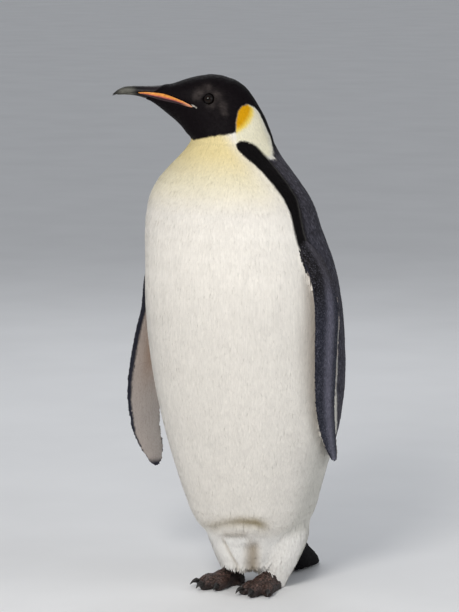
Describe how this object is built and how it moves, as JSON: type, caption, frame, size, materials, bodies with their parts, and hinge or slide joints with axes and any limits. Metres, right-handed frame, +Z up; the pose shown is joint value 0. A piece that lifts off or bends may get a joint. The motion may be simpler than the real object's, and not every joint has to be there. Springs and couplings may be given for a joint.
{
  "type": "emperor penguin",
  "caption": "Standing adult emperor penguin, life size and still, with the head turned to its right, one flipper against the body and one held a little off it.",
  "frame": {"origin": "on the floor, under the middle of the model's bounding box", "axes": "+Z up, the trunk faces -Y and the bird's left side is +X; the head looks about 55 degrees to the bird's right of -Y"},
  "size_m": [0.4414, 0.437, 0.9561],
  "materials": {
    "belly_plumage": "short dense feathers, cream white",
    "chest_plumage": "short dense feathers, pale yellow",
    "black_plumage": "short velvety feathers, black",
    "flipper_plumage": "scale-like feathers, slate",
    "foot_skin": "scaly skin, brown black",
    "claw_horn": "worn horn, black",
    "plate_horn": "smooth horn, orange to pink",
    "bill_horn": "satin horn, black",
    "eye": "wet, dark brown"
  },
  "bodies": {
    "root": {"trunk": "belly_plumage", "neck": "chest_plumage", "tail": "black_plumage", "leg_left": "belly_plumage", "foot_left": "foot_skin", "claw_left_inner": "claw_horn", "claw_left_middle": "claw_horn", "claw_left_outer": "claw_horn", "claw_left_hind": "claw_horn", "flipper_left": "flipper_plumage", "leg_right": "belly_plumage", "foot_right": "foot_skin", "claw_right_inner": "claw_horn", "claw_right_middle": "claw_horn", "claw_right_outer": "claw_horn", "claw_right_hind": "claw_horn", "flipper_right": "flipper_plumage", "eye_left": "eye", "bill_plate_left": "plate_horn", "eye_right": "eye", "bill_plate_right": "plate_horn", "head": "black_plumage", "bill_upper": "bill_horn", "bill_lower": "bill_horn"}
  },
  "joints": []
}
